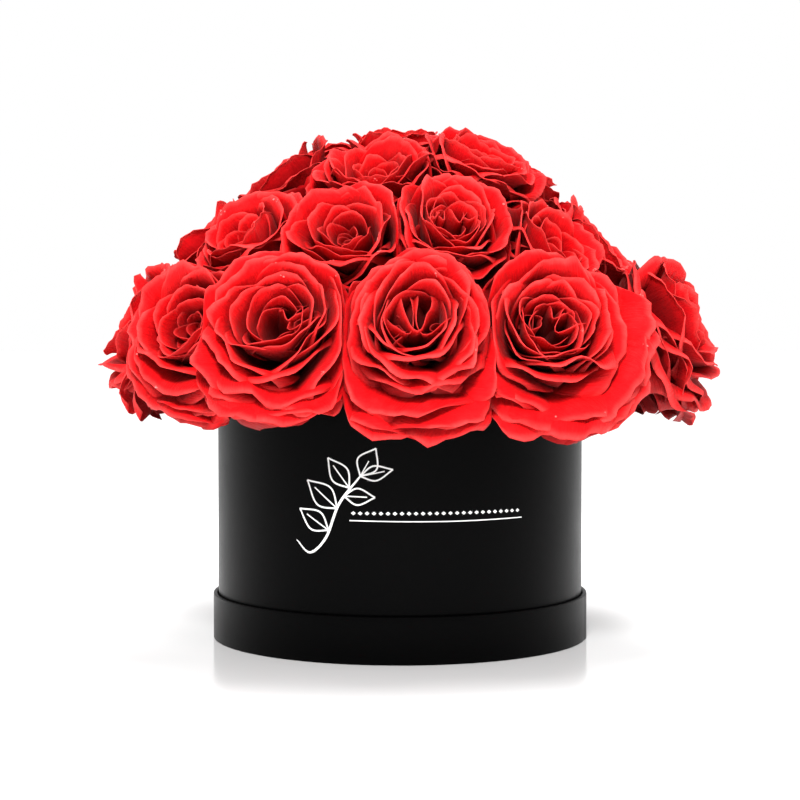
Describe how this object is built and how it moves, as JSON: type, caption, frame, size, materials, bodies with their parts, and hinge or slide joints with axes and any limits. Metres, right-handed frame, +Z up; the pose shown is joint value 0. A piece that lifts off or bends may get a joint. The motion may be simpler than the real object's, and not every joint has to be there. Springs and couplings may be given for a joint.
{
  "type": "flower box",
  "caption": "Round black hat box standing in its own lid, with a dome of red roses in wet floral foam that lifts out.",
  "frame": {"origin": "centre of the lid's underside, the face the flower box stands on", "axes": "+Z up along the box's axis, -Y towards the front of the box, +X to the right seen from the front"},
  "size_m": [0.3289, 0.327, 0.2792],
  "materials": {
    "black_paper": "satin black coated wrap paper",
    "lining_paper": "matte black lining paper",
    "grey_board": "raw grey paperboard",
    "liner_plastic": "thin black waterproof plastic",
    "floral_foam": "water-soaked green floral foam, as dense as water",
    "rose": "velvety red petals on a green stem"
  },
  "bodies": {
    "lid": {"lid_face_paper": "black_paper", "lid_panel": "grey_board", "lid_hoop": "grey_board", "lid_floor_paper": "lining_paper", "lid_wrap": "black_paper"},
    "box": {"box_base_disc": "grey_board", "box_tube": "grey_board", "box_wall_lining": "lining_paper", "box_floor_paper": "lining_paper", "box_wrap": "black_paper"},
    "arrangement": {"liner_cup": "liner_plastic", "foam_lower_left": "floral_foam", "foam_lower_right": "floral_foam", "foam_upper_left": "floral_foam", "foam_upper_right": "floral_foam", "rose_collar_01": "rose", "rose_collar_02": "rose", "rose_collar_03": "rose", "rose_collar_04": "rose", "rose_collar_05": "rose", "rose_collar_06": "rose", "rose_collar_07": "rose", "rose_collar_08": "rose", "rose_collar_09": "rose", "rose_collar_10": "rose", "rose_collar_11": "rose", "rose_collar_12": "rose", "rose_shoulder_01": "rose", "rose_shoulder_02": "rose", "rose_shoulder_03": "rose", "rose_shoulder_04": "rose", "rose_shoulder_05": "rose", "rose_shoulder_06": "rose", "rose_shoulder_07": "rose", "rose_shoulder_08": "rose", "rose_shoulder_09": "rose", "rose_shoulder_10": "rose", "rose_shoulder_11": "rose", "rose_crown_01": "rose", "rose_crown_02": "rose", "rose_crown_03": "rose", "rose_crown_04": "rose", "rose_crown_05": "rose", "rose_crown_06": "rose", "rose_top_01": "rose"}
  },
  "joints": [
    {"name": "box_lift", "type": "slide", "parent": "lid", "child": "box", "axis": [0, 0, 1], "range_m": [0, 0.03]},
    {"name": "arrangement_lift", "type": "slide", "parent": "box", "child": "arrangement", "axis": [0, 0, 1], "range_m": [0, 0.15]}
  ]
}
